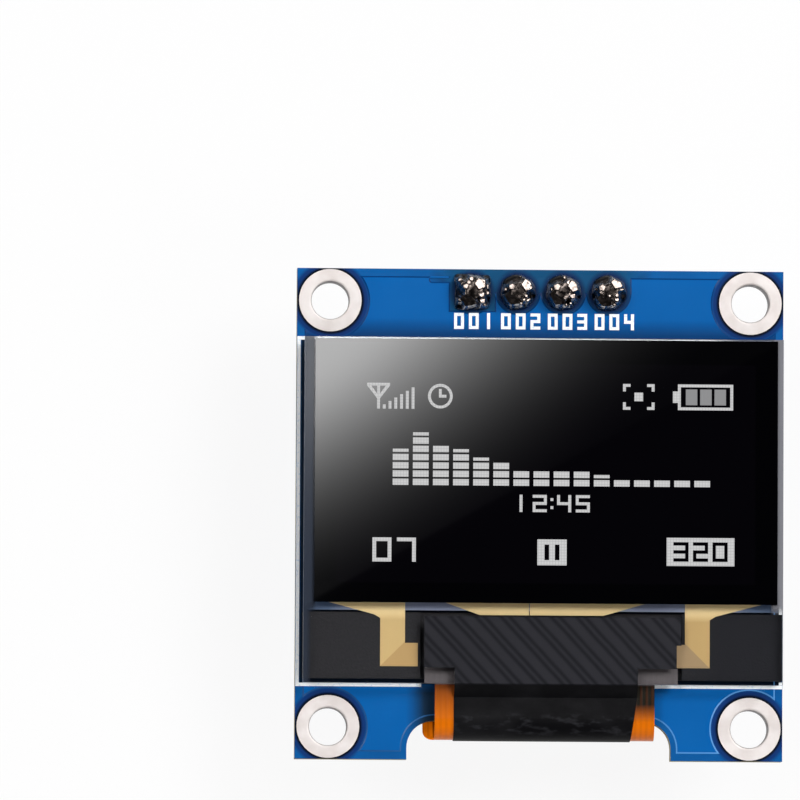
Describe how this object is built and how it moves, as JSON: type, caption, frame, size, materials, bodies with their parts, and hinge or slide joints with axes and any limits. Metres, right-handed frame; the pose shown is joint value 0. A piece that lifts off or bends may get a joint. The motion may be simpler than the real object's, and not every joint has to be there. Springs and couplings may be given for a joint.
{
  "type": "small oled display module",
  "caption": "Small emitting dot-matrix display on a blue circuit board with corner mounting holes, a folded flex tail and a pin header.",
  "frame": {"origin": "centre of the four mounting holes, on the board's back face", "axes": "+Z out of the display's face, +Y towards the header edge, header pins along -Z, +X to the right seen from the front"},
  "size_m": [0.0272, 0.0274, 0.0117],
  "materials": {
    "board_mask": "blue solder mask over bare laminate, satin gloss",
    "copper_mask": "lighter blue solder mask over copper, satin gloss",
    "ring_plating": "pale matt tin plating",
    "tin_pad": "pale tinned copper",
    "header_plastic": "black moulded plastic",
    "moulding": "black moulded epoxy",
    "tin": "dull tin",
    "solder": "bright solder",
    "gold_pin": "gold-flashed brass",
    "black_foam": "black foam adhesive",
    "cap_glass": "dark sealed glass",
    "sealant": "grey-blue cured epoxy",
    "front_glass": "clear polished glass",
    "polariser": "black polarising film, high gloss",
    "lit_dots": "white light",
    "trace_metal": "tan-gold metal seen through glass",
    "silicon": "polished silicon",
    "amber_film": "amber polyimide film",
    "black_tape": "black tape with fine slanting lines",
    "white_ink": "white printed ink",
    "capacitor_ceramic": "tan fired ceramic",
    "resistor_coat": "black glaze"
  },
  "bodies": {
    "root": {"circuit_board": "board_mask", "front_copper": "copper_mask", "rear_copper": "copper_mask", "hole_platings": "ring_plating", "header_platings": "tin_pad", "header_housing": "header_plastic", "header_pin_1": "gold_pin", "header_pin_2": "gold_pin", "header_pin_3": "gold_pin", "header_pin_4": "gold_pin", "solder_joint_1": "solder", "solder_joint_2": "solder", "solder_joint_3": "solder", "solder_joint_4": "solder", "panel_foam": "black_foam", "ledge_foam": "black_foam", "cap_glass": "cap_glass", "cap_seal": "sealant", "front_glass": "front_glass", "polariser": "polariser", "lit_picture": "lit_dots", "glass_traces": "trace_metal", "driver_chip": "silicon", "flex_film": "amber_film", "shading_tape": "black_tape", "flex_pads": "tin_pad", "flex_solder": "solder", "front_legend": "white_ink", "rear_legend": "white_ink", "component_pads": "tin_pad", "chip_ends": "tin", "capacitor_1": "capacitor_ceramic", "capacitor_2": "capacitor_ceramic", "capacitor_3": "capacitor_ceramic", "capacitor_4": "capacitor_ceramic", "capacitor_5": "capacitor_ceramic", "capacitor_6": "capacitor_ceramic", "capacitor_7": "capacitor_ceramic", "resistor_1": "resistor_coat", "resistor_2": "resistor_coat", "resistor_3": "resistor_coat", "resistor_4": "resistor_coat", "resistor_5": "resistor_coat", "resistor_6": "resistor_coat", "resistor_7": "resistor_coat", "regulator_body": "moulding", "regulator_leads": "tin", "diode_body": "moulding", "diode_leads": "tin"}
  },
  "joints": []
}
